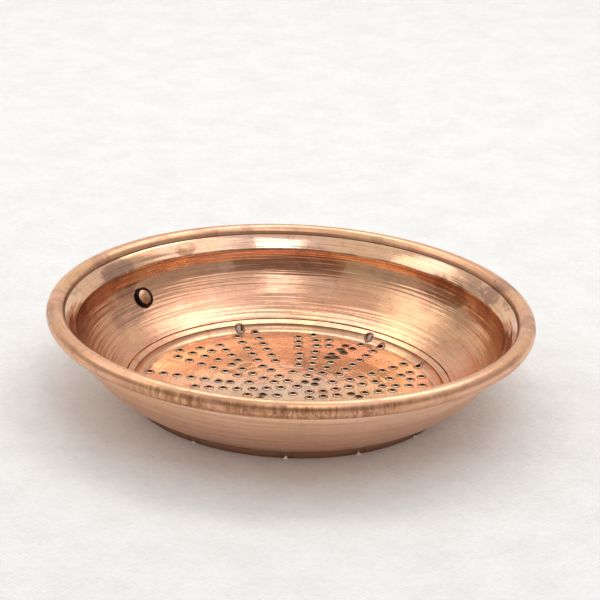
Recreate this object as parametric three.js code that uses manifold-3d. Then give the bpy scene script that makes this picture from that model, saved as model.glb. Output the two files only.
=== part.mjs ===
// Round copper colander: a spun sheet bowl with a pierced flat bottom and a wired rim, and a ring
// to hang it by.
// Millimetres, +Z up. The origin is the centre of the flat underside; the hanging ring is at +Y.
import * as THREE from "three";
import { mergeVertices } from "three/addons/utils/BufferGeometryUtils.js";
import Module from "manifold-3d";

const wasm = await Module();
wasm.setup();

// ---- Driving dimensions ----
const SHEET = 1.0; // thickness of the copper sheet
const CLEARANCE = 0.3; // gap between neighbouring pieces
const TURN_STEPS = 60; // facets once round the bowl

// Bowl profile: radius and height of each turning point of the inner face
const BASE_EDGE = new THREE.Vector2(76.8, SHEET);
const CREASE = new THREE.Vector2(80.8, SHEET + 3.4);
const WALL_TOP = new THREE.Vector2(109.6, 37.6);
const COVE = [new THREE.Vector2(79.1, 1.7), new THREE.Vector2(80.4, 3)]; // hollow turn between the two
const FOOT_RADIUS = 81.5; // outside of the upright foot the wall stands on
const FOOT_CORNER = 0.5;
const FOOT_TOP = new THREE.Vector2(81.8, 3.6);
const CREASE_TILT = 66; // tilt of the wall from vertical at the crease, degrees
const CREASE_HANDLE = 17.5; // length of the wall curve's handle at the crease
const WALL_TOP_TILT = 1; // and both at the wall's top
const WALL_TOP_HANDLE = 13.2;
const SHOULDER_FOOT_TILT = 38; // tilt of the flared shoulder where it turns out from the wall
const SHOULDER_TILT = 56; // and where it meets the bead
const SHOULDER_HANDLE = 3;

// Wired rim
const RIM_RADIUS = 125;
const BEAD_RADIUS = 4.6;
const BEAD_CENTRE = new THREE.Vector2(RIM_RADIUS - BEAD_RADIUS, 43.8);
const BEAD_START = 172; // where the sheet starts round the wire, degrees from the outward direction
const BEAD_END = -149; // and where its edge stops, just short of the wall
const WIRE_RADIUS = BEAD_RADIUS - SHEET - CLEARANCE;
const WIRE_JOINT = 0.8; // gap between the wire's butted ends

// Strainer holes: hand-punched in loose rows, with six bare wedges between fans of rows.
// Each row is a straight run of evenly spaced holes: [x, y of the first, x, y of the last, how many].
const HOLE_RADIUS = 1.55;
const HOLE_SIDES = 6;
const PATTERN_TURN = -51; // the rows were laid out this far round from the hanger, degrees
const PAIRED_ROWS = [
  // each of these is repeated on the opposite side of the centre
  [49, 9, 70, 11.8, 4],
  [45.5, 14, 53, 19, 2],
  [64, 19, 70, 23, 2],
  [59, 24, 64, 28, 2],
  [38, 19, 61, 39, 5],
  [26, 22, 45, 55, 6],
  [17.5, 22, 24.5, 44.5, 4],
  [29, 51.5, 38.5, 63.5, 3],
  [27.5, 55.5, 30, 61, 2],
  [20.5, 43.5, 22.5, 49, 2],
  [21, 60.5, 21, 68, 2],
  [14.5, 13, 10, 18, 2],
  [11.5, 26, 14.5, 59.5, 5],
  [14, 66.5, 12.5, 74, 2],
  [5, 32, 5.5, 47, 3],
  [4.5, 57, 4.5, 71, 3],
  [-5, 16, -9.5, 23.5, 2],
  [-7.5, 36, -19.5, 74, 6],
  [-14, 28, -29, 67.5, 6],
  [-19, 18, -30.5, 29, 3],
  [-27.5, 34.5, -38, 54, 4],
  [-38, 34.5, -59, 45, 4],
  [-42, 45.5, -48.5, 49, 2],
  [-27, 15, -59.5, 36, 6],
  [-36.5, 6.5, -73, 15, 6],
];
const SINGLE_ROWS = [
  // rows through the middle
  [11, -10, 54, 3.5, 7],
  [4.5, 3.5, 32, 15, 4],
  [11, -2.5, 18, -1.5, 2],
  [24.5, 2, 38.5, 9.8, 3],
  [-0.5, 10, 2, 22, 2],
  [8.5, 9.5, 8.5, 9.5, 1],
  [-7.5, 8, -13, 12.5, 2],
  [-20.5, 6.5, -30.5, 6, 2],
  [-4, 1, -18.5, -2, 3],
  [-26.5, -2.3, -48.5, -1.5, 4],
  [2.5, -5.5, -5.5, -8.5, 2],
  [-13, -8.5, -21, -9.5, 2],
];
// Holes that fall on the step, by direction in the pattern, degrees
const STEP_TURNS = [28, 51, 58, 110.5, -38, -64, -90, -124];

// Hanger: strap, rivet, washer and ring
const RIVET_AT = 0.4; // place of the rivet along the wall curve, from the top
const WASHER_RADIUS = 6.3;
const WASHER_THICK = 0.8;
const WASHER_DISH = 0.5; // how far the washer's rim stands back to follow the wall
const HEAD_RADIUS = 4.1;
const HEAD_HEIGHT = 1.4;
const HEAD_OFFSET = 1.1; // the washer sits this far off the rivet, round the bowl
const SHANK_RADIUS = 2;
const TAIL_RADIUS = 3.6;
const TAIL_HEIGHT = 1.5;
const STRAP_THICK = 1.2;
const STRAP_WIDTH = 9;
const EYE_WIDTH = 5; // the strap narrows to this at the eye
const STRAP_LOW = 0.58; // strap's lower end along the wall curve
const STRAP_HIGH = 0.15; // where it leaves the wall for the eye
const EYE_RADIUS = 2.5; // inside of the eye
const EYE_WRAP = 285; // degrees of wrap
const RING_RADIUS = 10.5; // to the middle of its wire
const RING_WIRE = 1.5;

// ---- Small helpers ----
const rad = THREE.MathUtils.degToRad;
const polar = (centre, radius, degrees) =>
  new THREE.Vector2(Math.cos(rad(degrees)), Math.sin(rad(degrees))).multiplyScalar(radius).add(centre);
const upward = (tilt) => new THREE.Vector2(Math.sin(rad(tilt)), Math.cos(rad(tilt)));

// A closed three.js geometry as a manifold-3d solid.
function solid(geometry) {
  const bare = new THREE.BufferGeometry().setAttribute("position", geometry.getAttribute("position"));
  if (geometry.index) bare.setIndex(geometry.index);
  const merged = mergeVertices(bare, 1e-3);
  const corners = [];
  for (let i = 0; i < merged.index.count; i += 3) {
    const [a, b, c] = [0, 1, 2].map((k) => merged.index.getX(i + k));
    if (a !== b && b !== c && c !== a) corners.push(a, b, c);
  }
  return new wasm.Manifold(
    new wasm.Mesh({
      numProp: 3,
      vertProperties: new Float32Array(merged.attributes.position.array),
      triVerts: new Uint32Array(corners),
    }),
  );
}

// A manifold-3d solid as a three.js geometry.
function geometryOf(made) {
  const mesh = made.getMesh();
  const geometry = new THREE.BufferGeometry();
  geometry.setAttribute("position", new THREE.BufferAttribute(mesh.vertProperties, 3));
  geometry.setIndex(new THREE.BufferAttribute(mesh.triVerts, 1));
  geometry.computeVertexNormals();
  return geometry;
}

// An outline of (radius, height) points turned about Z, put in the order that makes its faces point out.
function turned(outline, steps) {
  const ordered = THREE.ShapeUtils.area(outline) > 0 ? outline : [...outline].reverse();
  return new THREE.LatheGeometry(ordered, steps).rotateX(Math.PI / 2);
}

// A cylinder from one point to another.
function rod(from, to, radius, sides) {
  const along = new THREE.Vector3().subVectors(to, from);
  const geometry = new THREE.CylinderGeometry(radius, radius, along.length(), sides);
  const turn = new THREE.Quaternion();
  turn.setFromUnitVectors(new THREE.Vector3(0, 1, 0), along.clone().normalize());
  return geometry.applyQuaternion(turn).translate(...from.clone().addScaledVector(along, 0.5).toArray());
}

// ---- The bowl's profile ----
const wallCurve = new THREE.CubicBezierCurve(
  WALL_TOP,
  WALL_TOP.clone().addScaledVector(upward(WALL_TOP_TILT), -WALL_TOP_HANDLE),
  CREASE.clone().addScaledVector(upward(CREASE_TILT), CREASE_HANDLE),
  CREASE,
);
const groove = polar(BEAD_CENTRE, BEAD_RADIUS, BEAD_START);
const shoulderCurve = new THREE.CubicBezierCurve(
  groove,
  groove.clone().addScaledVector(upward(SHOULDER_TILT), -SHOULDER_HANDLE),
  WALL_TOP.clone().addScaledVector(upward(SHOULDER_FOOT_TILT), SHOULDER_HANDLE),
  WALL_TOP,
);

// The point at t on a profile curve, moved through the sheet by depth, with its outward normal.
function profilePoint(curve, t, depth) {
  const along = curve.getTangent(t); // runs downwards
  const out = new THREE.Vector2(-along.y, along.x);
  return { at: curve.getPoint(t).addScaledVector(out, depth), out };
}

// Points along a curve from the top down, moved through the sheet by depth.
function offsetPoints(curve, steps, depth) {
  return Array.from({ length: steps + 1 }, (_, i) => profilePoint(curve, i / steps, depth).at);
}

// Points round the bead from one direction to another.
function beadPoints(radius, from, to, steps) {
  const at = (i) => polar(BEAD_CENTRE, radius, from + ((to - from) * i) / steps);
  return Array.from({ length: steps + 1 }, (_, i) => at(i));
}

// Closed outline of the sheet: up the inside, over the bead, and back down the outside to the axis.
function sheetOutline() {
  const inside = [
    new THREE.Vector2(0, SHEET),
    BASE_EDGE,
    ...COVE,
    ...offsetPoints(wallCurve, 6, 0).reverse(),
    ...offsetPoints(shoulderCurve, 3, 0).reverse().slice(1),
    ...beadPoints(BEAD_RADIUS, BEAD_START, BEAD_END, 9).slice(1),
  ];
  const underside = [
    ...beadPoints(BEAD_RADIUS - SHEET, BEAD_END, BEAD_START - 12, 9),
    ...offsetPoints(shoulderCurve, 3, SHEET).slice(1),
    ...offsetPoints(wallCurve, 6, SHEET).slice(1, -1),
    FOOT_TOP,
    new THREE.Vector2(FOOT_RADIUS, FOOT_CORNER),
    new THREE.Vector2(FOOT_RADIUS - FOOT_CORNER, 0),
    new THREE.Vector2(0, 0),
  ];
  return [...inside, ...underside];
}

// ---- Strainer holes ----
function punchedHoles() {
  const holes = [];
  const run = ([x0, y0, x1, y1, count], side) => {
    for (let i = 0; i < count; i++) {
      const t = count > 1 ? i / (count - 1) : 0;
      const hole = new THREE.Vector2(x0 + (x1 - x0) * t, y0 + (y1 - y0) * t).multiplyScalar(side);
      holes.push(hole.rotateAround(new THREE.Vector2(), rad(PATTERN_TURN)));
    }
  };
  for (const row of PAIRED_ROWS) {
    run(row, 1);
    run(row, -1);
  }
  for (const row of SINGLE_ROWS) run(row, 1);
  return holes;
}

// ---- The hanger's place on the wall, in the YZ plane ----
const rivet = profilePoint(wallCurve, RIVET_AT, 0);
const onAxis = (depth) => rivet.at.clone().addScaledVector(rivet.out, depth);
const inYZ = (p) => new THREE.Vector3(0, p.x, p.y);
const RIVET_HOLE = SHANK_RADIUS + CLEARANCE;

function bowlShell() {
  const cutters = punchedHoles().map((p) =>
    rod(new THREE.Vector3(p.x, p.y, -1), new THREE.Vector3(p.x, p.y, 2), HOLE_RADIUS, HOLE_SIDES),
  );
  const stepMiddle = BASE_EDGE.clone().lerp(CREASE, 0.5);
  const stepOut = new THREE.Vector2(CREASE.y - BASE_EDGE.y, BASE_EDGE.x - CREASE.x).normalize();
  const up = new THREE.Vector3(0, 0, 1);
  for (const turn of STEP_TURNS) {
    const [inner, outer] = [-1.5, 6].map((depth) => {
      const p = stepMiddle.clone().addScaledVector(stepOut, depth);
      return new THREE.Vector3(p.x, 0, p.y).applyAxisAngle(up, rad(turn + PATTERN_TURN));
    });
    cutters.push(rod(inner, outer, HOLE_RADIUS, HOLE_SIDES));
  }
  cutters.push(rod(inYZ(onAxis(-3)), inYZ(onAxis(SHEET + 3)), RIVET_HOLE, 16));
  const body = solid(turned(sheetOutline(), TURN_STEPS));
  return geometryOf(body.subtract(wasm.Manifold.union(cutters.map(solid))));
}

function rimWire() {
  const sides = 10;
  const corner = (i) => polar(BEAD_CENTRE, WIRE_RADIUS, (360 * i) / sides);
  const section = Array.from({ length: sides + 1 }, (_, i) => corner(i));
  const joint = new THREE.BoxGeometry(4 * WIRE_RADIUS, WIRE_JOINT, 4 * WIRE_RADIUS);
  joint.translate(-BEAD_CENTRE.x, 0, BEAD_CENTRE.y); // across the -X side
  return geometryOf(solid(turned(section, TURN_STEPS)).subtract(solid(joint)));
}

// Turned pieces of the rivet are drawn about Z, pointing out of the wall, then stood on its axis.
function onRivet(geometry, sideways = 0) {
  const turn = new THREE.Quaternion().setFromUnitVectors(new THREE.Vector3(0, 0, 1), inYZ(rivet.out));
  return geometry.applyQuaternion(turn).translate(sideways, rivet.at.x, rivet.at.y);
}

const washerBack = -(CLEARANCE + 0.1);
const headSeat = washerBack - WASHER_THICK - CLEARANCE;
const strapInner = SHEET + CLEARANCE;
const tailSeat = strapInner + STRAP_THICK + CLEARANCE;

function dishedWasher() {
  const hole = SHANK_RADIUS + HEAD_OFFSET + CLEARANCE;
  const profile = [
    new THREE.Vector2(hole, washerBack - WASHER_THICK),
    new THREE.Vector2(hole, washerBack),
    new THREE.Vector2(WASHER_RADIUS, washerBack - WASHER_DISH),
    new THREE.Vector2(WASHER_RADIUS, washerBack - WASHER_DISH - WASHER_THICK * 0.6),
    new THREE.Vector2(WASHER_RADIUS - 0.8, washerBack - WASHER_DISH - WASHER_THICK * 0.5),
    new THREE.Vector2(HEAD_RADIUS + HEAD_OFFSET, washerBack - WASHER_THICK),
    new THREE.Vector2(hole, washerBack - WASHER_THICK),
  ];
  return onRivet(turned(profile, 32), HEAD_OFFSET);
}

function hangerRivet() {
  const dome = (radius, height, base, sign, steps) =>
    Array.from({ length: steps + 1 }, (_, i) => {
      const a = rad(90 * (1 - i / steps));
      return new THREE.Vector2(radius * Math.cos(a), base + sign * height * Math.sin(a));
    });
  const profile = [
    ...dome(HEAD_RADIUS, HEAD_HEIGHT, headSeat, -1, 5),
    new THREE.Vector2(SHANK_RADIUS, headSeat),
    new THREE.Vector2(SHANK_RADIUS, tailSeat),
    ...dome(TAIL_RADIUS, TAIL_HEIGHT, tailSeat, 1, 4).reverse(),
  ];
  profile[0].x = 0;
  profile[profile.length - 1].x = 0;
  return onRivet(turned(profile, 20));
}

// The eye of the strap: its centre, and the direction from it back to the wall.
const eyeFoot = profilePoint(wallCurve, STRAP_HIGH, strapInner + STRAP_THICK / 2);
const EYE_MIDDLE = EYE_RADIUS + STRAP_THICK / 2;
const eyeCentre = eyeFoot.at.clone().addScaledVector(eyeFoot.out, EYE_MIDDLE);
const eyeBack = THREE.MathUtils.radToDeg(Math.atan2(-eyeFoot.out.y, -eyeFoot.out.x));

function hangerStrap() {
  const face = (across) => {
    const wall = Array.from({ length: 9 }, (_, i) => {
      const t = STRAP_LOW + ((STRAP_HIGH - STRAP_LOW) * i) / 8;
      return profilePoint(wallCurve, t, strapInner + across).at;
    });
    const radius = EYE_MIDDLE + STRAP_THICK / 2 - across;
    const wrap = (i) => polar(eyeCentre, radius, eyeBack - (EYE_WRAP * (i + 1)) / 14);
    const eye = Array.from({ length: 14 }, (_, i) => wrap(i));
    return [...wall, ...eye];
  };
  const outline = [...face(0), ...face(STRAP_THICK).reverse()];
  const plate = new THREE.ExtrudeGeometry(new THREE.Shape(outline), {
    depth: STRAP_WIDTH,
    bevelEnabled: false,
  });
  // Shape X becomes +Y, shape Y becomes +Z, and the width runs along X.
  const place = new THREE.Matrix4().makeBasis(
    new THREE.Vector3(0, 1, 0),
    new THREE.Vector3(0, 0, 1),
    new THREE.Vector3(1, 0, 0),
  );
  plate.applyMatrix4(place).translate(-STRAP_WIDTH / 2, 0, 0);
  const hole = rod(inYZ(onAxis(0)), inYZ(onAxis(tailSeat + 1)), RIVET_HOLE, 16);
  return geometryOf(solid(plate).intersect(solid(strapFront())).subtract(solid(hole)));
}

// The strap seen from the front, as a block as deep as the bowl: rounded foot, narrow neck at the eye.
function strapFront() {
  const half = STRAP_WIDTH / 2;
  const neck = EYE_WIDTH / 2;
  const foot = rivet.at.y - SHEET - 1;
  const front = new THREE.Shape();
  front.absarc(0, foot, half, Math.PI, 2 * Math.PI, false);
  front.lineTo(half, foot + 2.5);
  front.lineTo(neck, eyeCentre.y - EYE_RADIUS - 2);
  front.lineTo(neck, BEAD_CENTRE.y);
  front.lineTo(-neck, BEAD_CENTRE.y);
  front.lineTo(-neck, eyeCentre.y - EYE_RADIUS - 2);
  front.lineTo(-half, foot + 2.5);
  const block = new THREE.ExtrudeGeometry(front, {
    depth: RIM_RADIUS,
    bevelEnabled: false,
    curveSegments: 10,
  });
  return block.rotateX(Math.PI / 2).translate(0, RIM_RADIUS, 0);
}

function hangingRing() {
  return new THREE.TorusGeometry(RING_RADIUS, RING_WIRE, 10, 40)
    .rotateX(Math.PI / 2)
    .translate(0, eyeCentre.x, eyeCentre.y - RING_RADIUS);
}

// ---- Materials and assembly ----
const metal = (color, roughness) => new THREE.MeshStandardMaterial({ color, roughness, metalness: 1 });
const copper = metal(0xd98b62, 0.22);
const agedCopper = metal(0xb8704c, 0.35);
const darkIron = metal(0x2a2624, 0.6);

const colander = new THREE.Group();
function add(name, geometry, material) {
  const mesh = new THREE.Mesh(geometry, material);
  mesh.name = name;
  colander.add(mesh);
}
add("bowl_shell", bowlShell(), copper);
add("rim_wire", rimWire(), darkIron);
add("hanger_rivet", hangerRivet(), agedCopper);
add("rivet_washer", dishedWasher(), darkIron);
add("hanger_strap", hangerStrap(), agedCopper);
add("hanging_ring", hangingRing(), agedCopper);

export default colander;
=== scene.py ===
"""Looks for the round copper colander: a spun, hand-punched bowl with a wired rim and a hanging ring.

Metres throughout, in the part's own frame: +Z up, origin at the centre of the flat underside, hanger on +Y.
Profile numbers are millimetres and are scaled by MM when a mesh is made.
"""

import math

import bpy
import numpy as np
from mathutils import Matrix, Vector, noise
from mathutils.geometry import delaunay_2d_cdt


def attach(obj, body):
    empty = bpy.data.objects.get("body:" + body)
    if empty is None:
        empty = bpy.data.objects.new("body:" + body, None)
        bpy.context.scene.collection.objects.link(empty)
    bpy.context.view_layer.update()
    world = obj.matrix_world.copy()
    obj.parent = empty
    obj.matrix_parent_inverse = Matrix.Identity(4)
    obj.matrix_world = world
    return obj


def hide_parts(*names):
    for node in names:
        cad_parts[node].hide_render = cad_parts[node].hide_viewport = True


MM = 0.001
noise.seed_set(7)  # noise_vector takes its offsets from the clock otherwise

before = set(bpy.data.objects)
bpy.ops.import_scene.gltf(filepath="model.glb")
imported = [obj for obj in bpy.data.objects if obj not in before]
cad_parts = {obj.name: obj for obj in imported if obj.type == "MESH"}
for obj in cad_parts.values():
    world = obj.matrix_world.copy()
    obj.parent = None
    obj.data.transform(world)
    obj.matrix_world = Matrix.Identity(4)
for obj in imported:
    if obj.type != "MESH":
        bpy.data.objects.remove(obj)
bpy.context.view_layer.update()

# ---------------------------------------------------------------- camera
PATTERN_TURN = math.radians(-51)  # from the bowl's front, as the camera sees it, to the hanger's frame
ELEVATION = math.radians(23.88)
ROLL = math.radians(2.376)
DISTANCE = 1.194
LENS = 138.0
AIM = (0.00508, 0.0394)  # how far the view's middle stands right of and above the origin, as slopes


def make_camera():
    turn = Matrix.Rotation(PATTERN_TURN, 3, "Z")
    forward = turn @ Vector((0, math.cos(ELEVATION), -math.sin(ELEVATION)))
    right0 = turn @ Vector((1, 0, 0))
    up0 = right0.cross(forward)
    right = math.cos(ROLL) * right0 + math.sin(ROLL) * up0
    up = right.cross(forward)
    place = -forward * DISTANCE
    aim = (forward + AIM[0] * right + AIM[1] * up).normalized()
    right = (right - right.dot(aim) * aim).normalized()
    up = right.cross(aim)
    data = bpy.data.cameras.new("camera")
    data.lens = LENS
    data.sensor_width = 36.0
    cam = bpy.data.objects.new("camera", data)
    axes = Matrix((right, up, -aim)).transposed()
    cam.matrix_world = Matrix.Translation(place) @ axes.to_4x4()
    bpy.context.scene.collection.objects.link(cam)
    bpy.context.scene.camera = cam
    return cam


camera = make_camera()

# ---------------------------------------------------------------- the bowl's dimensions, as in the CAD part
SHEET = 1.0
BASE_EDGE = (76.8, 1.0)
CREASE = (80.8, 4.4)
WALL_TOP = (109.6, 37.6)
# How the inner face's curves leave their ends: degrees from upright, and mm along that tilt
CREASE_TILT, CREASE_HANDLE = 66, 17.5
WALL_TOP_TILT, WALL_TOP_HANDLE = 1, 13.2
SHOULDER_FOOT_TILT, SHOULDER_TILT, SHOULDER_HANDLE = 38, 56, 3
BEAD_R = 4.54  # a hair inside the CAD bead, so that the uneven sheet stays within its box
BEAD_C = (124.86 - BEAD_R, 43.7)
BEAD_START, BEAD_END = 172, -149  # degrees round the bead: at the shoulder's groove, and where it closes
HOLE_R = 1.42
# Rows of holes: x and y of the first, x and y of the last, how many. Paired rows repeat half a turn away.
PAIRED_ROWS = [
    (49, 9, 70, 11.8, 4), (45.5, 14, 53, 19, 2), (64, 19, 70, 23, 2), (59, 24, 64, 28, 2),
    (38, 19, 61, 39, 5), (26, 22, 45, 55, 6), (17.5, 22, 24.5, 44.5, 4), (29, 51.5, 38.5, 63.5, 3),
    (27.5, 55.5, 30, 61, 2), (20.5, 43.5, 22.5, 49, 2), (21, 60.5, 21, 68, 2), (14.5, 13, 10, 18, 2),
    (11.5, 26, 14.5, 59.5, 5), (14, 66.5, 12.5, 74, 2), (5, 32, 5.5, 47, 3), (4.5, 57, 4.5, 71, 3),
    (-5, 16, -9.5, 23.5, 2), (-7.5, 36, -19.5, 74, 6), (-14, 28, -29, 67.5, 6), (-19, 18, -30.5, 29, 3),
    (-27.5, 34.5, -38, 54, 4), (-38, 34.5, -59, 45, 4), (-42, 45.5, -48.5, 49, 2),
    (-27, 15, -59.5, 36, 6), (-36.5, 6.5, -73, 15, 6),
]
SINGLE_ROWS = [
    (11, -10, 54, 3.5, 7), (4.5, 3.5, 32, 15, 4), (11, -2.5, 18, -1.5, 2), (24.5, 2, 38.5, 9.8, 3),
    (-0.5, 10, 2, 22, 2), (8.5, 9.5, 8.5, 9.5, 1), (-7.5, 8, -13, 12.5, 2), (-20.5, 6.5, -30.5, 6, 2),
    (-4, 1, -18.5, -2, 3), (-26.5, -2.3, -48.5, -1.5, 4), (2.5, -5.5, -5.5, -8.5, 2),
    (-13, -8.5, -21, -9.5, 2),
]
# Holes in the step: direction in degrees and distance out
STEP_HOLES = [(27.6, 77.4), (51, 77.6), (58, 80.6), (110.5, 79.6), (-38, 78.8), (-64, 78.8), (-90, 78.8), (-124, 78.8)]
# Rings left by punches that did not go through: x, y and size
BLIND_MARKS = [(-3.6, 30.3, 2.3), (28, 18.3, 3.0), (-21.5, 35, 1.0), (-25.6, 43.2, 1.0), (-19.6, 58.6, 1.1)]


def turned(x, y):
    """A point given as the bowl's front sees it, in the part's frame."""
    c, s = math.cos(PATTERN_TURN), math.sin(PATTERN_TURN)
    return (c * x - s * y, s * x + c * y)


def compass(degrees, reach=1.0):
    """The place this far out in a direction as the bowl's front sees it: 0 is right, 90 is away."""
    return turned(reach * math.cos(math.radians(degrees)), reach * math.sin(math.radians(degrees)))


def hole_centres():
    found = []
    for rows, sides in ((PAIRED_ROWS, (1, -1)), (SINGLE_ROWS, (1,))):
        for x0, y0, x1, y1, count in rows:
            for side in sides:
                for i in range(count):
                    t = i / (count - 1) if count > 1 else 0.0
                    found.append(turned(side * (x0 + (x1 - x0) * t), side * (y0 + (y1 - y0) * t)))
    found += [compass(turn, radius) for turn, radius in STEP_HOLES]
    return np.array(found)


def bezier(a, b, c, d, count):
    t = np.linspace(0, 1, count)[:, None]
    a, b, c, d = (np.array(p, float) for p in (a, b, c, d))
    return (1 - t) ** 3 * a + 3 * t * (1 - t) ** 2 * b + 3 * t * t * (1 - t) * c + t ** 3 * d


def upward(tilt):
    """A direction leaning outwards from upright by this many degrees."""
    return np.array((math.sin(math.radians(tilt)), math.cos(math.radians(tilt))))


def bead_points(radius, start, end, count):
    """An arc about the bead's centre, from one angle to another in degrees."""
    a = np.radians(np.linspace(start, end, count))
    return np.c_[BEAD_C[0] + radius * np.cos(a), BEAD_C[1] + radius * np.sin(a)]


def offset(points, depth):
    """Points of a profile moved sideways, to its right when it is walked from first to last."""
    along = np.gradient(points, axis=0)
    along /= np.linalg.norm(along, axis=1)[:, None]
    return points + depth * np.c_[along[:, 1], -along[:, 0]]


def round_corner(before, corner, after, reach, count=7):
    """A corner of a profile softened into a small arc."""
    before, corner, after = (np.array(p, float) for p in (before, corner, after))
    a = corner + reach * (before - corner) / np.linalg.norm(before - corner)
    b = corner + reach * (after - corner) / np.linalg.norm(after - corner)
    t = np.linspace(0, 1, count)[:, None]
    return (1 - t) ** 2 * a + 2 * t * (1 - t) * corner + t * t * b


def wall_curve(count):
    """The wall's inner face from its top down to the crease."""
    top, crease = np.array(WALL_TOP), np.array(CREASE)
    below_top = top - WALL_TOP_HANDLE * upward(WALL_TOP_TILT)
    return bezier(top, below_top, crease + CREASE_HANDLE * upward(CREASE_TILT), crease, count)


def inside_profile():
    """The inner face from the flat plate out over the step, up the wall and over the shoulder to the groove."""
    wall_top, crease, edge = (np.array(p) for p in (WALL_TOP, CREASE, BASE_EDGE))
    wall = wall_curve(60)[::-1]
    groove = bead_points(BEAD_R, BEAD_START, BEAD_START, 1)[0]
    shoulder = bezier(groove, groove - SHOULDER_HANDLE * upward(SHOULDER_TILT),
                      wall_top + SHOULDER_HANDLE * upward(SHOULDER_FOOT_TILT), wall_top, 24)[::-1]
    turn = round_corner(wall[-5], wall_top, shoulder[6], 1.1, 9)
    wall = wall[wall[:, 1] < turn[0, 1] - 0.15]
    shoulder = np.vstack((turn, shoulder[shoulder[:, 1] > turn[-1, 1] + 0.15]))
    step = bezier(edge, edge + (2.0, 0.35), crease - (0.45, 1.7), crease, 14)
    flat = (70, SHEET)
    low = round_corner(flat, edge, step[3], 1.0, 8)
    high = round_corner(step[-3], crease, wall[4], 0.5, 7)
    keep = step[(step[:, 0] > low[-1, 0] + 0.1) & (step[:, 0] < high[0, 0] - 0.04)]
    wall = wall[wall[:, 0] > high[-1, 0] + 0.15]
    return np.vstack(([flat], low, keep, high, wall, shoulder))


# ---------------------------------------------------------------- bowl mesh
AROUND = 420
HOLE_STEPS = 20
PUNCH_REACH = 3.3  # how far out a punched hole's own rings of points go, where it has the room
PUNCH_RINGS = np.array((0, 0.15, 0.33, 0.55, 0.8, 0.95, 1.1, 1.3, 1.6, 1.8)) / 1.8
PITCH = 1.55  # between the points that fill the flat bottom
# Rings of points over the step, close together where the sheet turns
STEP_RINGS = (75.4, 76.1, 76.6, 77.0, 77.4, 77.9, 78.5, 79.1, 79.6, 80.0, 80.3, 80.5, 80.65, 80.8, 80.92, 81.05,
              81.18, 81.3, 81.4, 81.48, 81.56, 81.64, 81.74, 81.88, 82.1, 82.6, 83.5)
# Outer face of the upright foot the wall stands on: distance out and height
FOOT = ((80.95, 0.0), (81.12, 0.03), (81.3, 0.15), (81.42, 0.38), (81.47, 0.62), (81.64, 3.0), (81.74, 3.45),
        (81.95, 3.78))
PLATE_R = 84.5  # the disc with every hole in it reaches just past the step
WAVE = 0.10  # how far the hand-finished sheet wanders from true, in mm
BOTTOM_WAVE = 0.30
BOTTOM_LIFT = 0.3  # the bottom's underside clears the table by this much inside the foot
RIVET_DENT = (104.3, 21.5)  # where the sheet is dinted round the rivet: distance out and height
RIVET_DENT_DEPTH = 0.22
STEP_HOLE_LEAN = 1.35  # how far a hole through the step comes out beyond where it goes in
INSIDE, OUTSIDE, PLATE, HOLE_WALL = range(4)  # the bowl's materials
BEAD_OUTSIDE = 22  # so many of the bead's last sections, from its underside on, look like the outside


def sheet_wave(p, size):
    """Gentle unevenness of the hand-worked sheet at a point in mm."""
    v = Vector((p[0], p[1], p[2]))
    slow = noise.noise(v / 46.0) + 0.5 * noise.noise(v / 19.0 + Vector((7, 3, 1)))
    return size * (slow + 0.22 * noise.noise(v / 8.0))


def outline():
    """The sheet's section outside the pierced disc: inner face and bead, then bead inside and outer face."""
    whole = inside_profile()
    under = offset(whole, SHEET)
    start = np.interp(PLATE_R, whole[:, 0], whole[:, 1])
    inner = np.vstack(([(PLATE_R, start)], whole[whole[:, 0] > PLATE_R + 0.2]))
    bead = bead_points(BEAD_R, BEAD_START, BEAD_END, 64)
    groove = round_corner(inner[-3], bead[0], bead[2], 0.28, 5)
    inner_part = np.vstack((inner[:-1], groove, bead[3:]))
    lip = bead_points(BEAD_R - SHEET, BEAD_END, 150, 40)
    end = np.interp(PLATE_R, under[:, 0], under[:, 1])
    outer = under[::-1][14:]
    outer = outer[outer[:, 0] > PLATE_R + 0.2]
    return inner_part, np.vstack((lip, outer, [(PLATE_R, end)]))


def plate_levels(radius):
    """Heights of the inner and outer face at these distances from the middle, out to the edge of the disc."""
    whole = inside_profile()
    under = offset(whole, SHEET)
    under = under[under[:, 0] > 82.25]
    foot = np.vstack(((0, 0), FOOT, under[np.argsort(under[:, 0])]))
    return np.interp(radius, whole[:, 0], whole[:, 1]), np.interp(radius, foot[:, 0], foot[:, 1])


def dist_to(points, p):
    return np.hypot(points[:, 0] - p[0], points[:, 1] - p[1])


def ring_profile(d, size):
    """Height of the punched collar at distance d (mm) from a hole's centre, and the painted shade at the hole's edge
    and round its dish.
    """
    collar = 0.36 * np.exp(-((d - HOLE_R - 0.25) / 0.42) ** 2)
    ring = max(HOLE_R + 0.55, 2.3 * size)
    dish = -0.20 * np.exp(-((d - ring) / 0.22) ** 2)
    lip = 0.05 * np.exp(-((d - 2.9 * size) / 0.3) ** 2)
    # Painted shade: a dark line at the hole's edge and a dark ring round its dish, standing for the shade and dark
    # reflections there
    punch_darkening = 1.1 * np.exp(-((d - ring) / 0.27) ** 2) + 1.0 * np.exp(-((d - HOLE_R) / 0.2) ** 2)
    return collar + dish + lip, punch_darkening


def ring_points(radius):
    turns = [2 * math.pi * i / AROUND for i in range(AROUND)]
    return [(radius * math.cos(a), radius * math.sin(a)) for a in turns]


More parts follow.
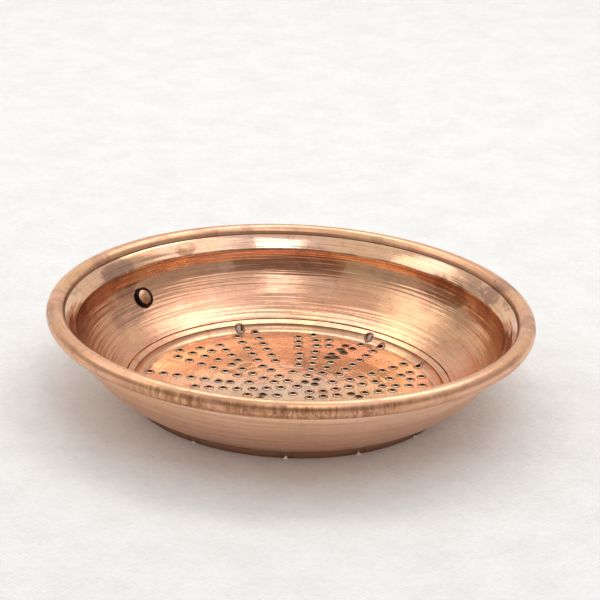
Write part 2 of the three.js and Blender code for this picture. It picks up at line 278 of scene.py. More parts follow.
def plate_points(holes, room):
    """Points of the pierced disc seen from above, the edges its triangles must keep, and each hole's rim."""
    flat = ring_points(PLATE_R)
    edges = [(i, (i + 1) % AROUND) for i in range(AROUND)]
    rng = np.random.default_rng(4)
    rims = []
    for h, s in zip(holes, room):
        squash = 1 + 0.05 * rng.standard_normal()
        lean = rng.uniform(0, math.pi)
        reach = HOLE_R + PUNCH_RINGS * (PUNCH_REACH * s - HOLE_R)
        for level, radius in enumerate(reach):
            first = len(flat)
            for j in range(HOLE_STEPS):
                a = 2 * math.pi * (j + 0.5 * (level % 2)) / HOLE_STEPS
                q = 1 + (squash - 1) * math.cos(2 * (a - lean)) * max(0.0, 1 - level / 6)
                flat.append((h[0] + radius * q * math.cos(a), h[1] + radius * q * math.sin(a)))
            if level == 0:
                loop = [(first + j, first + (j + 1) % HOLE_STEPS) for j in range(HOLE_STEPS)]
                edges += loop
                rims.append([e[0] for e in loop])
    for radius in STEP_RINGS:
        around = ring_points(radius)
        near = PUNCH_REACH if radius < 80.7 else 1.9
        clear = np.min([dist_to(np.array(around), h) / (near * s + 0.35) for h, s in zip(holes, room)], axis=0)
        flat += [q for q, c in zip(around, clear) if c > 1]
    cells = []
    for row in range(-60, 61):
        for col in range(-60, 61):
            x = (col + 0.5 * (row % 2)) * PITCH
            y = row * PITCH * 0.866
            if math.hypot(x, y) < STEP_RINGS[0] - 0.8:
                cells.append((x, y))
    cells = np.array(cells)
    near = np.min([dist_to(cells, h) / (PUNCH_REACH * s + 0.5) for h, s in zip(holes, room)], axis=0)
    flat += [tuple(c) for c in cells[near > 1]]
    return flat, edges, rims


def plate_mesh(holes):
    """The pierced disc seen from above: points (x, y), triangles, hole rims, heights of the punch marks and the
    painted shade round them.
    """
    gap = np.array([np.sort(dist_to(holes, h))[1] for h in holes])
    room = np.minimum(1.0, (gap / 2 - 0.02) / PUNCH_REACH)
    flat, edges, rims = plate_points(holes, room)
    verts, _, faces, *_ = delaunay_2d_cdt([Vector(p) for p in flat], edges, [], 0, 1e-7)
    if len(verts) != len(flat):
        raise RuntimeError("the plate's points were merged")
    xy = np.array(flat)
    in_rim = np.zeros(len(xy), int) - 1
    for k, rim in enumerate(rims):
        in_rim[rim] = k
    tris = np.array(faces)
    owner = in_rim[tris]
    inside_hole = (owner[:, 0] >= 0) & (owner[:, 0] == owner[:, 1]) & (owner[:, 1] == owner[:, 2])
    tris = tris[~inside_hole]
    a, b, c = xy[tris[:, 0]], xy[tris[:, 1]], xy[tris[:, 2]]
    turn = (b[:, 0] - a[:, 0]) * (c[:, 1] - a[:, 1]) - (b[:, 1] - a[:, 1]) * (c[:, 0] - a[:, 0])
    tris[turn < 0] = tris[turn < 0][:, ::-1]
    rise = np.zeros(len(xy))
    punch_darkening = np.zeros(len(xy))
    for h, s in zip(holes, room):
        d = dist_to(xy, h)
        use = d < 4.6
        up, painted_darkening = ring_profile(d[use], s)
        rise[use] += up
        punch_darkening[use] = np.maximum(punch_darkening[use], painted_darkening)
    for x, y, size in BLIND_MARKS:
        d = dist_to(xy, turned(x, y))
        use = d < 2.5 * size
        d = d[use]
        rise[use] += 0.16 * np.exp(-((d - 0.8 * size) / (0.22 * size)) ** 2)
        rise[use] -= 0.12 * np.exp(-((d - 1.15 * size) / (0.14 * size)) ** 2)
        # Painted shade in the ring round each blind punch mark
        punch_darkening[use] = np.maximum(punch_darkening[use], 0.5 * np.exp(-((d - 1.15 * size) / 0.3) ** 2))
    return xy, tris, rims, rise, punch_darkening


def lean_step_holes(xy):
    """Points of the underside, drawn outwards where a hole punched through the step comes out."""
    out = np.hypot(xy[:, 0], xy[:, 1])
    moved = xy.copy()
    for turn, radius in STEP_HOLES:
        way = np.array(compass(turn))
        fade = np.clip((5.4 - dist_to(xy, radius * way)) / 3.8, 0, 1)
        fade = fade * fade * (3 - 2 * fade) * np.clip((PLATE_R - out) / 1.5, 0, 1) * min(1.0, (84.2 - radius) / 5.2)
        moved += STEP_HOLE_LEAN * fade[:, None] * way
    return moved


def spun_sheet():
    """The sheet outside the disc, wandering a little from true: points, quads and each quad's material."""
    inner, outer = outline()
    section = np.vstack((inner, outer))
    count = len(section)
    angles = 2 * math.pi * np.arange(AROUND) / AROUND
    ring_r = section[:, 0][None, :]
    coords = np.stack((ring_r * np.cos(angles)[:, None], ring_r * np.sin(angles)[:, None],
                       np.repeat(section[:, 1][None, :], AROUND, 0)), -1)
    along = np.gradient(section, axis=0)
    along /= np.maximum(np.linalg.norm(along, axis=1), 1e-9)[:, None]
    across = np.c_[-along[:, 1], along[:, 0]]
    n_in = len(inner)
    mid = section + np.where(np.arange(count)[:, None] < n_in, -0.5, 0.5) * SHEET * across
    strength = np.clip((section[:, 0] - PLATE_R) / 6.0, 0, 1) * np.where(section[:, 0] > 117.0, 0.5, 1.0)
    for i, a in enumerate(angles):
        c, s = math.cos(a), math.sin(a)
        for j in range(count):
            w = strength[j] * sheet_wave((mid[j, 0] * c, mid[j, 0] * s, mid[j, 1]), WAVE)
            dent = (mid[j, 0] * c) ** 2 + (mid[j, 0] * s - RIVET_DENT[0]) ** 2 + (mid[j, 1] - RIVET_DENT[1]) ** 2
            if dent < 400:
                w -= RIVET_DENT_DEPTH * math.exp(-dent / 55)
            side = 1.0 if j < n_in else -1.0
            coords[i, j, 0] += w * side * across[j, 0] * c
            coords[i, j, 1] += w * side * across[j, 0] * s
            coords[i, j, 2] += w * side * across[j, 1]
    index = np.arange(AROUND * count).reshape(AROUND, count)
    quads = []
    kinds = []
    following = np.roll(index, -1, axis=0)
    for j in range(count - 1):
        quads.append(np.stack((index[:, j], following[:, j], following[:, j + 1], index[:, j + 1]), -1))
        kinds += [INSIDE if j < n_in - BEAD_OUTSIDE else OUTSIDE] * AROUND
    return coords.reshape(-1, 3), np.concatenate(quads), kinds


def build_bowl():
    verts, quads, kinds = spun_sheet()
    xy, tris, rims, rise, painted_darkening = plate_mesh(hole_centres())
    base = np.array([sheet_wave((x, y, 0), BOTTOM_WAVE) for x, y in xy])
    from_middle = np.hypot(xy[:, 0], xy[:, 1])
    fade = np.clip((76.0 - from_middle) / 7.0, 0, 1)
    rise *= np.clip((PLATE_R - from_middle) / 1.5, 0, 1)
    top = np.c_[xy, plate_levels(from_middle)[0] + fade * base + rise]
    low_xy = lean_step_holes(xy)
    low_out = np.hypot(low_xy[:, 0], low_xy[:, 1])
    low = plate_levels(low_out)[1]
    raised = BOTTOM_LIFT * np.clip((80.3 - low_out) / 0.9, 0, 1)  # the foot alone touches
    under = np.c_[low_xy, np.maximum(0.0, low + fade * base + raised)]
    first_top = len(verts)
    first_under = first_top + len(top)
    verts = np.vstack((verts, top, under))
    faces = [tuple(q) for q in quads]
    faces += [tuple(t + first_top) for t in tris]
    kinds += [PLATE] * len(tris)
    faces += [tuple((t + first_under)[::-1]) for t in tris]
    kinds += [OUTSIDE] * len(tris)
    for rim in rims:
        for j, a in enumerate(rim):
            b = rim[(j + 1) % len(rim)]
            faces.append((b + first_top, a + first_top, a + first_under, b + first_under))
            kinds.append(HOLE_WALL)
    # Painted shade round the punched holes, for the plate's shader; a fainter copy on the underside
    punch_darkening = np.zeros(len(verts))
    punch_darkening[first_top:first_under] = painted_darkening
    punch_darkening[first_under:] = 0.6 * painted_darkening
    mesh = bpy.data.meshes.new("bowl")
    mesh.from_pydata((verts * MM).tolist(), [], faces)
    mesh.attributes.new("punch_darkening", "FLOAT", "POINT").data.foreach_set("value", punch_darkening.astype(np.float32))
    mesh.polygons.foreach_set("material_index", kinds)
    mesh.polygons.foreach_set("use_smooth", np.array(kinds) != HOLE_WALL)
    mesh.validate()
    bowl = bpy.data.objects.new("bowl", mesh)
    bpy.context.scene.collection.objects.link(bowl)
    weld = bowl.modifiers.new("weld", "WELD")
    weld.merge_threshold = 0.00002
    return bowl


# ---------------------------------------------------------------- small pieces
def new_mesh(name, verts, faces, smooth=True):
    mesh = bpy.data.meshes.new(name)
    mesh.from_pydata([tuple(v) for v in verts], [], faces)
    mesh.polygons.foreach_set("use_smooth", [smooth] * len(mesh.polygons))
    made = bpy.data.objects.new(name, mesh)
    bpy.context.scene.collection.objects.link(made)
    return made


def lathe(name, profile, axis_at, axis_dir, count=72, wobble=0.0):
    """A (radius, height) profile in mm turned about a line in space; closed where it starts and ends on the axis."""
    basis = Vector((0, 0, 1)).rotation_difference(Vector(axis_dir)).to_matrix()
    verts = []
    for i in range(count):
        a = 2 * math.pi * i / count
        for r, h in profile:
            p = Vector((r * math.cos(a), r * math.sin(a), h))
            if wobble:
                p += wobble * noise.noise_vector(p / 2.6 + Vector((3, 5, 9)))
            verts.append((basis @ p + Vector(axis_at)) * MM)
    n = len(profile)
    faces = []
    for i in range(count):
        k = (i + 1) % count
        for j in range(n - 1):
            faces.append((i * n + j, k * n + j, k * n + j + 1, i * n + j + 1))
    made = new_mesh(name, verts, faces)
    weld = made.modifiers.new("weld", "WELD")
    weld.merge_threshold = 0.000004
    return made


def wall_place(t, depth):
    """Point and outward direction on the hanger's plane (y, z), t of the way down the wall, depth mm through it."""
    p = wall_curve(2001)
    i = int(round(t * 2000))
    along = p[min(i + 1, 2000)] - p[max(i - 1, 0)]
    along /= np.linalg.norm(along)
    out = np.array((-along[1], along[0]))
    return p[i] + depth * out, out


RIVET_T = 0.4
rivet_at, rivet_out = wall_place(RIVET_T, 0)
RIVET_POINT = Vector((0, rivet_at[0], rivet_at[1]))
RIVET_OUT = Vector((0, rivet_out[0], rivet_out[1]))


def smooth_turns(points, rounds=2):
    """Corner cutting on an open profile, keeping its ends."""
    for _ in range(rounds):
        a = np.array(points, float)
        cut = np.empty((2 * (len(a) - 1), 2))
        cut[0::2] = 0.78 * a[:-1] + 0.22 * a[1:]
        cut[1::2] = 0.22 * a[:-1] + 0.78 * a[1:]
        points = np.vstack((a[:1], cut, a[-1:]))
    return [tuple(p) for p in points]


def build_rivet():
    head = [(0, -2.75), (1.9, -2.68), (3.2, -2.45), (3.9, -2.1), (4.08, -1.75), (3.9, -1.53), (2.0, -1.52)]
    shank = [(2.0, -1.3), (2.0, 2.6)]
    tail = [(2.0, 2.82), (3.3, 2.84), (3.55, 3.2), (3.2, 3.8), (2.2, 4.2), (1.0, 4.29), (0, 4.3)]
    profile = smooth_turns(head) + shank + smooth_turns(tail)
    rivet = lathe("rivet", profile, RIVET_POINT, RIVET_OUT, 64, 0.07)
    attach(rivet, "colander")
    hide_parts("hanger_rivet")
    return rivet


def build_washer():
    """The dark collar that shows as a ring round the rivet's head: a grimy dark ring, set a little off-centre so that
    its wider side stands for the shade in the gap beside the head.
    """
    loop = [(3.1, -1.18), (3.1, -0.45), (4.5, -0.55), (5.45, -0.92), (5.6, -1.1), (5.4, -1.28), (4.8, -1.22),
            (4.0, -1.2), (3.1, -1.18)]
    washer = lathe("collar", loop, RIVET_POINT + Vector((0.7, 0, 0)), RIVET_OUT, 96, 0.1)
    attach(washer, "colander")
    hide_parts("rivet_washer")
    return washer


def build_strap():
    """A bent strip with rounded long edges, from its foot under the rivet up into the eye."""
    thick, inner = 1.2, SHEET + 0.3
    path = [wall_place(t, inner + thick / 2)[0] for t in np.linspace(0.58, 0.15, 26)]
    foot_at, foot_out = wall_place(0.15, inner + thick / 2)
    eye_r = 2.5 + thick / 2
    centre = foot_at + eye_r * foot_out
    back = math.degrees(math.atan2(-foot_out[1], -foot_out[0]))
    for a in np.linspace(back, back - 285, 46)[1:]:
        path.append(centre + eye_r * np.array((math.cos(math.radians(a)), math.sin(math.radians(a)))))
    path = np.array(path)
    step = np.r_[0, np.cumsum(np.linalg.norm(np.diff(path, axis=0), axis=1))]
    along = np.gradient(path, axis=0)
    along /= np.linalg.norm(along, axis=1)[:, None]
    side = np.c_[-along[:, 1], along[:, 0]]
    verts, faces = [], []
    around = 28
    for p, n, s in zip(path, side, step):
        foot = math.sqrt(max(0.0, 1 - ((4.6 - min(s, 4.6)) / 4.6) ** 2))
        half = (4.45 * foot + 0.05) if s < 4.6 else 4.5 - 2.05 * min(1.0, max(0.0, (s - 6.5) / 4.5)) ** 1.3
        for k in range(around):
            a = 2 * math.pi * k / around
            ca, sa = math.cos(a), math.sin(a)
            x = half * math.copysign(abs(ca) ** 0.32, ca)
            h = 0.5 * thick * math.copysign(abs(sa) ** 0.45, sa)
            q = p + n * h
            v = Vector((x, q[0], q[1]))
            v += 0.045 * noise.noise_vector(v / 4.0)
            verts.append(v * MM)
    for i in range(len(path) - 1):
        for k in range(around):
            m = (k + 1) % around
            faces.append((i * around + k, (i + 1) * around + k, (i + 1) * around + m, i * around + m))
    faces.append(tuple(range(around)))
    faces.append(tuple(range((len(path) - 1) * around, len(path) * around))[::-1])
    strap = new_mesh("strap", verts, faces)
    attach(strap, "colander")
    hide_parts("hanger_strap")
    return strap, centre


def build_ring(centre):
    """The hanging ring: round wire bent to a circle and brazed, a little out of true."""
    major, minor = 10.5, 1.46
    verts, faces = [], []
    m, n = 144, 28
    for i in range(m):
        a = 2 * math.pi * i / m
        braze = 1 + 0.05 * math.exp(-((math.degrees(a) - 285) / 7) ** 2)
        for j in range(n):
            b = 2 * math.pi * j / n
            r = minor * braze
            v = Vector(((major + r * math.cos(b)) * math.cos(a), r * math.sin(b) * 0.985,
                        (major + r * math.cos(b)) * math.sin(a)))
            v *= 0.996
            v += 0.05 * noise.noise_vector(v / 3.5) * (1 if i else 0.5)
            verts.append((v + Vector((0, centre[0], centre[1] - major))) * MM)
    for i in range(m):
        for j in range(n):
            a, b = (i + 1) % m, (j + 1) % n
            faces.append((i * n + j, i * n + b, a * n + b, a * n + j))
    ring = new_mesh("hanging_loop", verts, faces)
    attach(ring, "ring")
    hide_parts("hanging_ring")
    return ring


# ---------------------------------------------------------------- materials
class Tree:
    """Short names for building a node material."""

    def __init__(self, name):
        self.material = bpy.data.materials.new(name)
        self.material.use_nodes = True
        self.tree = self.material.node_tree
        self.shader = self.tree.nodes["Principled BSDF"]

    def node(self, kind, *inputs, out=0, **settings):
        made = self.tree.nodes.new("ShaderNode" + kind)
        for key, value in settings.items():
            setattr(made, key, value)
        for socket, value in zip(made.inputs, inputs):
            self.feed(socket, value)
        return made.outputs[out]

    def feed(self, socket, value):
        if value is None:
            return
        if isinstance(value, bpy.types.NodeSocket):
            self.tree.links.new(value, socket)
        else:
            socket.default_value = value

    def math(self, op, a, b=None):
        return self.node("Math", a, b, operation=op)

    def add(self, a, b):
        return self.math("ADD", a, b)

    def times(self, a, b):
        return self.math("MULTIPLY", a, b)

    def most(self, a, b):
        return self.math("MAXIMUM", a, b)

    def place(self):
        """The point in the object's own frame."""
        return self.node("TexCoord", out=3)

    def xyz(self, x, y, z):
        return self.node("CombineXYZ", x, y, z)

    def ramp(self, value, low, high):
        """0 at low, 1 at high, smooth between."""
        made = self.tree.nodes.new("ShaderNodeMapRange")
        made.interpolation_type = "SMOOTHSTEP"
        self.feed(made.inputs["Value"], value)
        self.feed(made.inputs["From Min"], low)
        self.feed(made.inputs["From Max"], high)
        return made.outputs["Result"]

    def noise(self, vector, scale=1.0, detail=2.0, rough=0.5, warp=0.0):
        made = self.tree.nodes.new("ShaderNodeTexNoise")
        self.feed(made.inputs["Vector"], vector)
        made.inputs["Scale"].default_value = scale
        made.inputs["Detail"].default_value = detail
        made.inputs["Roughness"].default_value = rough
        made.inputs["Distortion"].default_value = warp
        return made.outputs["Fac"]

    def mix(self, factor, a, b):
        made = self.tree.nodes.new("ShaderNodeMix")
        made.data_type = "RGBA"  # a Mix node's colours are its sockets 6 and 7, and its output 2
        self.feed(made.inputs[0], factor)
        self.feed(made.inputs[6], a)
        self.feed(made.inputs[7], b)
        return made.outputs[2]

    def bump(self, height, distance, strength=1.0, normal=None):
        made = self.tree.nodes.new("ShaderNodeBump")
        made.inputs["Strength"].default_value = strength
        made.inputs["Distance"].default_value = distance
        self.feed(made.inputs["Height"], height)
        self.feed(made.inputs["Normal"], normal)
        return made.outputs["Normal"]


def colour(r, g, b):
    return (r, g, b, 1.0)


COPPER = colour(0.90, 0.55, 0.375)
COPPER_DEEP = colour(0.83, 0.44, 0.255)
COPPER_WALL = colour(0.74, 0.375, 0.225)
COPPER_PALE = colour(0.90, 0.60, 0.47)  # where a film of patina has dulled it
COPPER_GOLD = colour(0.90, 0.57, 0.31)
PATINA = colour(0.40, 0.225, 0.17)
TARNISH = colour(0.32, 0.135, 0.062)
# Near-black for painted shade and dark reflections: in creases, at the foot, round the holes and on the hole walls
PAINTED_DARK = colour(0.030, 0.014, 0.009)
# Lines of painted shade and dark reflection, in mm along the sheet (distance out + height)
BASE_EDGE_AT, CREASE_AT, WALL_TOP_AT, GROOVE_AT = 77.4, 85.1, 147.2, 159.9
# Stained places: direction round the bowl as its front sees it (degrees), radius + height along the sheet (mm),
# half-size (mm) and depth
STAINS = [
    (148, 151.5, 10, 0.8), (151.5, 164, 7, 0.65), (122, 153.5, 6, 0.5), (151, 118, 9, 0.65), (103, 165, 3, 0.4),
    (38, 153.5, 5, 0.4), (30, 154.5, 5, 0.5), (22, 155, 8, 0.8), (20.5, 166.5, 8, 0.75), (-5, 169, 7, 0.5),
    (12, 158, 4, 0.5), (147, 135, 5, 0.6), (66, 163, 4, 0.4), (170, 160, 6, 0.4), (186, 166, 7, 0.4),
]
BROWN_STAINS = [(40, 141, 12, 0.75), (22, 139, 9, 0.5), (147, 140, 8, 0.7), (168, 138, 6, 0.5), (84, 142, 9, 0.45),
                (122, 151, 4, 0.6)]


def copper(name, kind):
    """Spun copper: turning lines, brighter and duller bands, patina and tarnish, with painted shade and dark
    reflections along its creases, at its foot and round its holes, and the outside painted a little lighter.
    """
    t = Tree(name)
    place = t.place()
    x, y, z = (t.node("SeparateXYZ", place, out=i) for i in range(3))
    r = t.math("SQRT", t.add(t.times(x, x), t.times(y, y)))
    ux = t.math("DIVIDE", x, r)
    uy = t.math("DIVIDE", y, r)
    sheet = t.times(t.add(r, z), 1000.0)  # mm along the sheet, near enough

    def turned_noise(around, across, detail, rough):
        return t.noise(t.xyz(t.times(ux, around), t.times(uy, around), t.times(sheet, across)), 1, detail, rough)

    hair = turned_noise(5.0, 2.6, 2, 0.6)
    lines = turned_noise(2.4, 0.8, 4, 0.62)
    ripple = t.add(turned_noise(0.9, 0.22, 2, 0.5), t.times(turned_noise(1.6, 0.5, 2, 0.5), 0.3))
    bands = turned_noise(0.5, 0.13, 2, 0.5)
    cloud = t.noise(place, 26, 4, 0.62, 0.6)
    tone = t.noise(place, 17, 3, 0.55, 0.8)
    patch = t.noise(place, 60, 5, 0.68, 0.4)
    mottle = t.noise(place, 190, 4, 0.62)
    speck = t.noise(place, 900, 2, 0.6)
    warp = t.times(t.add(t.noise(place, 85, 4, 0.65), -0.5), 9.0)

    def line_at(at, waver, half, core):
        """A thin line round the bowl, this many mm along the sheet: 1 within core of it, 0 beyond half."""
        off = t.math("ABSOLUTE", t.add(sheet, t.add(-at, t.times(warp, waver))))
        return t.ramp(off, half, core)

    def stained(stains):
        deepest = None
        for turn, at, size, depth in stains:
            way = compass(turn)
            across = t.add(t.times(ux, way[0]), t.times(uy, way[1]))
            round_mm = t.times(t.math("ARCCOSINE", t.math("MINIMUM", across, 0.99999)), at - 35.0)
            off = t.add(sheet, -float(at))
            far = t.math("SQRT", t.add(t.math("POWER", t.times(round_mm, 0.62), 2.0), t.math("POWER", off, 2.0)))
            here = t.times(t.ramp(t.add(far, warp), size, size * 0.72), depth)
            deepest = here if deepest is None else t.most(deepest, here)
        return deepest

    rim = t.ramp(r, 0.1148, 0.1165)
    wall_down = t.ramp(sheet, 149.0, 146.0)
    low_wall = t.ramp(sheet, 138.0, 122.0)
    # Inside and on the plate this sets the wear; the outside's smaller share and lighter clean copper are painted
    # light, lifting the outer wall where the bowl shades it
    wear_and_lift = {"inside": 1.0, "outside": 0.4, "plate": 1.1}[kind]
    clean = {"inside": COPPER, "outside": colour(0.94, 0.59, 0.40), "plate": colour(0.92, 0.68, 0.45)}[kind]
    base = t.mix(t.ramp(cloud, 0.42, 0.7), clean, COPPER_DEEP if kind == "inside" else COPPER)
    pale = t.times(t.ramp(tone, 0.52, 0.40), 0.6 * wear_and_lift)
    if kind == "inside":
        on_wall = t.ramp(sheet, 148.5, 146.0)
        base = t.mix(t.times(on_wall, 0.85), base, COPPER_WALL)
        base = t.mix(t.times(rim, 0.9), base, COPPER_DEEP)
        pale = t.times(pale, t.add(1.0, t.times(t.most(on_wall, rim), -0.65)))
    if kind == "plate":
        on_step = t.ramp(r, 0.0762, 0.0775)
        base = t.mix(t.times(on_step, 0.8), base, COPPER_WALL)
        pale = t.times(pale, t.add(1.0, t.times(on_step, -0.8)))
    base = t.mix(pale, base, COPPER_PALE)
    base = t.mix(t.times(t.ramp(tone, 0.53, 0.62), 0.8 if kind == "plate" else 0.45), base, COPPER_GOLD)
    base = t.mix(t.times(t.ramp(lines, 0.48, 0.72), 0.42 * wear_and_lift), base, PATINA)
    base = t.mix(t.times(t.ramp(hair, 0.54, 0.70), 0.34 * wear_and_lift), base, TARNISH)
    base = t.mix(t.times(t.ramp(mottle, 0.50, 0.70), 0.30 * wear_and_lift), base, PATINA)
    streak = t.noise(t.xyz(t.times(ux, 58), t.times(uy, 58), t.times(sheet, 0.16)), 1, 6, 0.72, 0.5)
    dull = t.ramp(t.add(t.times(bands, 0.6), t.times(lines, 0.4)), 0.3, 0.72)
    if kind == "inside":
        # Painted shade in the groove under the bead, and a patchy painted dark reflection along the bend at the wall's
        # top
        groove = line_at(GROOVE_AT, 0.03, 0.95, 0.1)
        foot = t.times(line_at(WALL_TOP_AT, 0.03, 0.8, 0.1), t.ramp(patch, 0.42, 0.62))
        painted_darkening = t.most(t.times(groove, 0.85), t.times(foot, 0.7))
        blot = t.most(t.times(stained(STAINS), t.ramp(mottle, 0.3, 0.5)),
                      t.times(rim, t.times(t.ramp(patch, 0.50, 0.72), 0.5)))
        brown = t.times(stained(BROWN_STAINS), t.ramp(t.add(t.times(patch, 0.5), t.times(lines, 0.5)), 0.42, 0.54))
        ahead = compass(-90)
        front = t.ramp(t.add(t.times(ux, ahead[0]), t.times(uy, ahead[1])), 0.70, 0.94)
        smear = t.times(t.ramp(streak, 0.34, 0.64), t.times(front, t.ramp(z, 0.0478, 0.0460)))
        smear = t.times(smear, t.times(t.ramp(r, 0.1198, 0.1222), t.ramp(cloud, 0.24, 0.46)))
        brown = t.most(brown, t.times(smear, 0.9))
        rough = t.add(0.065, t.add(t.times(dull, 0.09), t.times(low_wall, 0.13)))
        rough = t.add(rough, t.times(rim, 0.2))
    elif kind == "outside":
        # Painted shade: the outside darkens over its last few mm towards the table, and the foot band is painted brown
        # for its shade; the rim's brown streaks are stains
        painted_darkening = t.times(t.ramp(z, 0.006, 0.0005), 0.35)
        blot = t.times(t.ramp(patch, 0.55, 0.8), 0.25)
        brown = t.most(t.times(t.ramp(streak, 0.55, 0.8), t.times(rim, 0.5)),
                       t.times(t.ramp(z, 0.0042, 0.0032), 0.6))
        rough = t.add(0.26, t.times(dull, 0.12))
    else:
        # Painted shade round the holes and in the corner where the flat bottom meets the step, and a painted dark
        # reflection along the crease's ridge
        crease = line_at(CREASE_AT, 0.02, 0.65, 0.05)
        edge = t.times(line_at(BASE_EDGE_AT, 0.05, 1.6, 0.2), t.ramp(patch, 0.35, 0.6))
        painted_darkening = t.node("Attribute", out=2, attribute_name="punch_darkening")
        painted_darkening = t.most(painted_darkening, t.most(t.times(crease, 0.85), t.times(edge, 0.55)))
        blot = t.times(t.ramp(patch, 0.52, 0.76), 0.32)
        brown = t.times(t.ramp(t.noise(place, 45, 5, 0.7, 1.0), 0.56, 0.72), 0.45)
        rough = t.add(0.09, t.add(t.times(dull, 0.12), t.times(on_step, 0.12)))
    painted_darkening = t.math("MINIMUM", painted_darkening, 1.0)
    paint = t.mix(blot, base, PATINA)
    paint = t.mix(brown, paint, TARNISH)
    paint = t.mix(t.times(t.ramp(speck, 0.66, 0.78), 0.45), paint, TARNISH)
    # Painted shade and dark reflections, laid on as near-black
    paint = t.mix(painted_darkening, paint, PAINTED_DARK)
    t.feed(t.shader.inputs["Base Color"], paint)
    t.shader.inputs["Metallic"].default_value = 1.0
    rough = t.add(rough, t.add(t.times(blot, 0.2), t.times(brown, 0.12)))
    t.feed(t.shader.inputs["Roughness"], t.add(rough, t.times(painted_darkening, 0.4)))
    turning = 0.25
    waves = 0.2
    if kind != "plate":
        turning = t.add(0.12, t.add(t.times(wall_down, 0.19), t.times(low_wall, 0.5)))
        waves = t.add(0.45, t.times(wall_down, 0.55))
    relief = t.bump(t.times(t.add(t.times(hair, 0.35), lines), turning), 0.00011, 1.0)
    relief = t.bump(t.times(ripple, waves), 0.0006, 1.0, relief)
    relief = t.bump(t.noise(place, 240, 3, 0.55), 0.00004, 0.7, relief)
    t.feed(t.shader.inputs["Normal"], relief)
    return t.material


def aged_metal(name, clean, dark, rough, scale):
    """Hand-forged small pieces: blotched colour, fine scratches and hammer unevenness."""
    t = Tree(name)
    place = t.place()
    blot = t.ramp(t.noise(place, scale, 5, 0.65, 0.5), 0.38, 0.68)
    speck = t.ramp(t.noise(place, scale * 9, 3, 0.6), 0.5, 0.8)
    paint = t.mix(t.times(blot, 0.75), clean, dark)
    paint = t.mix(t.times(speck, 0.4), paint, dark)
    t.feed(t.shader.inputs["Base Color"], paint)
    t.shader.inputs["Metallic"].default_value = 1.0
    t.feed(t.shader.inputs["Roughness"], t.add(rough, t.times(t.add(blot, speck), 0.12)))
    relief = t.bump(t.noise(place, scale * 1.6, 3, 0.5), 0.00012, 0.6)
    relief = t.bump(t.noise(place, scale * 14, 2, 0.6), 0.00002, 0.5, relief)
    t.feed(t.shader.inputs["Normal"], relief)
    return t.material


def table_cloth():
    """Pale painted canvas: a fine weave, worn patches and a few specks."""
    t = Tree("table_top")
    place = t.place()
    x, y = (t.node("SeparateXYZ", place, out=i) for i in range(2))
    warp = t.noise(t.xyz(t.times(x, 1100), t.times(y, 160), 0.0), 1, 2, 0.5)
    weft = t.noise(t.xyz(t.times(x, 160), t.times(y, 1100), 0.0), 1, 2, 0.5)
    cloth = t.add(warp, weft)
    grain = t.noise(place, 34, 6, 0.68)
    shade = t.add(t.times(t.ramp(grain, 0.35, 0.7), 0.55), t.times(t.ramp(cloth, 0.8, 1.25), 0.45))
    paint = t.mix(shade, colour(0.86, 0.865, 0.87), colour(0.76, 0.76, 0.755))
    paint = t.mix(t.times(t.ramp(t.noise(place, 420, 3, 0.6), 0.70, 0.78), 0.5), paint, colour(0.45, 0.42, 0.38))
    t.feed(t.shader.inputs["Base Color"], paint)
    t.shader.inputs["Roughness"].default_value = 0.85
    t.shader.inputs["Emission Color"].default_value = colour(1.0, 0.99, 0.97)
    t.shader.inputs["Emission Strength"].default_value = 0.06
    t.feed(t.shader.inputs["Normal"], t.bump(t.add(cloth, t.times(grain, 1.2)), 0.0006, 0.7))
    return t.material


def glow(name, shade, strength):
    """A studio surface that shines on its own, brighter or darker than the room."""
    t = Tree(name)
    t.shader.inputs["Base Color"].default_value = colour(0, 0, 0)
    t.shader.inputs["Roughness"].default_value = 1.0
    t.shader.inputs["Emission Color"].default_value = shade
    t.shader.inputs["Emission Strength"].default_value = strength
    return t.material


def plain(name, shade, shine):
    """A matt wall, faintly clouded, that shines a little."""
    t = Tree(name)
    t.shader.inputs["Emission Color"].default_value = shade
    t.shader.inputs["Emission Strength"].default_value = shine
    place = t.place()
    near = tuple(c * 0.96 for c in shade[:3]) + (1.0,)
    t.feed(t.shader.inputs["Base Color"], t.mix(t.noise(place, 9, 5, 0.6), near, shade))
    t.shader.inputs["Roughness"].default_value = 0.9
    return t.material


# ---------------------------------------------------------------- the object
bowl = build_bowl()
# The hole walls are painted near-black: painted shade inside the holes
for made in (copper("copper_inside", "inside"), copper("copper_outside", "outside"), copper("copper_plate", "plate"),
             aged_metal("hole_edges", colour(0.10, 0.045, 0.028), PAINTED_DARK, 0.5, 300)):
    bowl.data.materials.append(made)
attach(bowl, "colander")
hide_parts("bowl_shell")

aged = aged_metal("aged_copper", colour(0.74, 0.42, 0.28), colour(0.30, 0.14, 0.08), 0.24, 260)
head = aged_metal("rivet_copper", colour(0.66, 0.36, 0.23), colour(0.24, 0.10, 0.055), 0.32, 330)
iron = aged_metal("black_iron", colour(0.035, 0.026, 0.022), colour(0.012, 0.009, 0.008), 0.38, 420)
rivet = build_rivet()
rivet.data.materials.append(head)
washer = build_washer()
washer.data.materials.append(iron)
strap, eye_centre = build_strap()
strap.data.materials.append(aged)
ring = build_ring(eye_centre)
ring.data.materials.append(aged)
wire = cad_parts["rim_wire"]
wire.data.materials.clear()
wire.data.materials.append(iron)


# ---------------------------------------------------------------- stage and light
def front_frame(x, y, z):
    """A point given as the bowl's front sees it: x right, y away, z up."""
    return Vector((*turned(x, y), z))


def panel(name, corners, material):
    made = new_mesh(name, [front_frame(*c) for c in corners], [tuple(range(len(corners)))], False)
    made.data.materials.append(material)
    return made


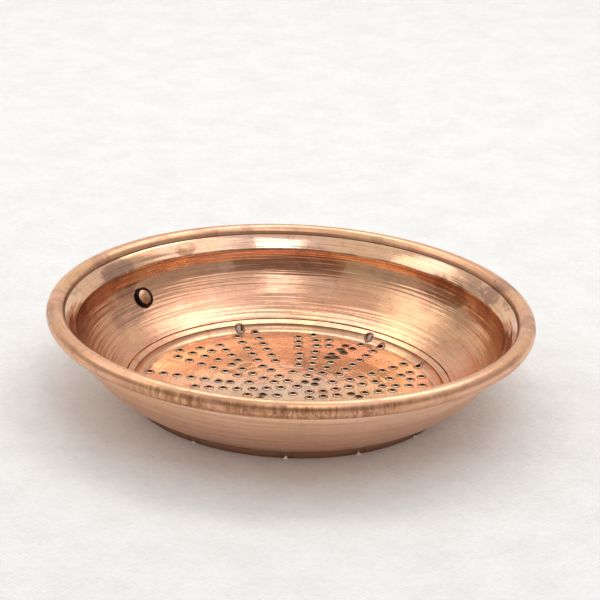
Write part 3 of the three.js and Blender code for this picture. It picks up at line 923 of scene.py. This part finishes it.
TABLE_Z = -0.0001  # a hair under the foot, so that the two don't share a plane
SIDE = 3.0
NEAR, FAR = -2.6, 2.2
panel("table", [(-SIDE, NEAR, TABLE_Z), (SIDE, NEAR, TABLE_Z), (SIDE, FAR, TABLE_Z), (-SIDE, FAR, TABLE_Z)],
      table_cloth())
panel("backdrop", [(-SIDE, FAR, -0.3), (SIDE, FAR, -0.3), (SIDE, FAR, 2.3), (-SIDE, FAR, 2.3)],
      plain("backdrop_wall", colour(0.95, 0.945, 0.925), 0.26))
panel("camera_side", [(-1.16, -1.96, 0.22), (1.38, -1.96, 0.22), (1.38, -1.96, 1.78), (-1.16, -1.96, 1.87)],
      glow("camera_side_dark", colour(1.0, 0.78, 0.64), 0.26))


def soft_light(name, place, target, size, size_y, power, tint=(1, 1, 1)):
    data = bpy.data.lights.new(name, "AREA")
    data.shape = "RECTANGLE"
    data.size = size
    data.size_y = size_y
    data.energy = power
    data.color = tint
    lamp = bpy.data.objects.new(name, data)
    at = front_frame(*place)
    lamp.location = at
    lamp.rotation_euler = (front_frame(*target) - at).to_track_quat("-Z", "Y").to_euler()
    bpy.context.scene.collection.objects.link(lamp)
    return lamp


def from_bowl(azimuth, elevation, reach):
    """A place seen from the back wall's middle in a given direction, as the bowl's front sees it."""
    a, e = math.radians(azimuth), math.radians(elevation)
    return (reach * math.cos(e) * math.cos(a), 0.1 + reach * math.cos(e) * math.sin(a), 0.03 + reach * math.sin(e))


CENTRE = (0, 0.05, 0.02)
soft_light("window_high", from_bowl(-79, 60, 1.6), CENTRE, 0.46, 0.40, 1.2)
soft_light("window_low", from_bowl(-80, 47.5, 1.6), CENTRE, 0.26, 0.13, 0.36)
soft_light("back_high", from_bowl(84, 66, 1.6), (0, -0.15, 0), 1.8, 0.7, 8.5, (1.0, 0.99, 0.975))
soft_light("side_left", from_bowl(178, 42, 1.9), (-0.45, -0.1, 0.0), 1.2, 0.8, 3.4, (1.0, 0.97, 0.97))
soft_light("side_right", from_bowl(0, 58, 1.7), CENTRE, 1.5, 0.9, 2.6, (1.0, 0.97, 0.97))


def studio_world():
    """A pale room: dimmer low down, brightest at mid height."""
    world = bpy.data.worlds.new("room")
    bpy.context.scene.world = world
    world.use_nodes = True
    tree = world.node_tree
    height = tree.nodes.new("ShaderNodeSeparateXYZ")
    tree.links.new(tree.nodes.new("ShaderNodeTexCoord").outputs["Generated"], height.inputs[0])
    ramp = tree.nodes.new("ShaderNodeValToRGB")
    tree.links.new(height.outputs["Z"], ramp.inputs["Fac"])
    stops = ((0.0, 0.44), (0.28, 0.44), (0.55, 0.54), (0.74, 0.80), (0.92, 0.80), (0.97, 0.76))
    while len(ramp.color_ramp.elements) < len(stops):
        ramp.color_ramp.elements.new(0.5)
    for element, (at, level) in zip(ramp.color_ramp.elements, stops):
        element.position = at
        element.color = (level, level * 0.985, level * 0.96, 1.0)
    tree.links.new(ramp.outputs["Color"], tree.nodes["Background"].inputs["Color"])


studio_world()
bpy.context.scene.view_settings.view_transform = "Standard"
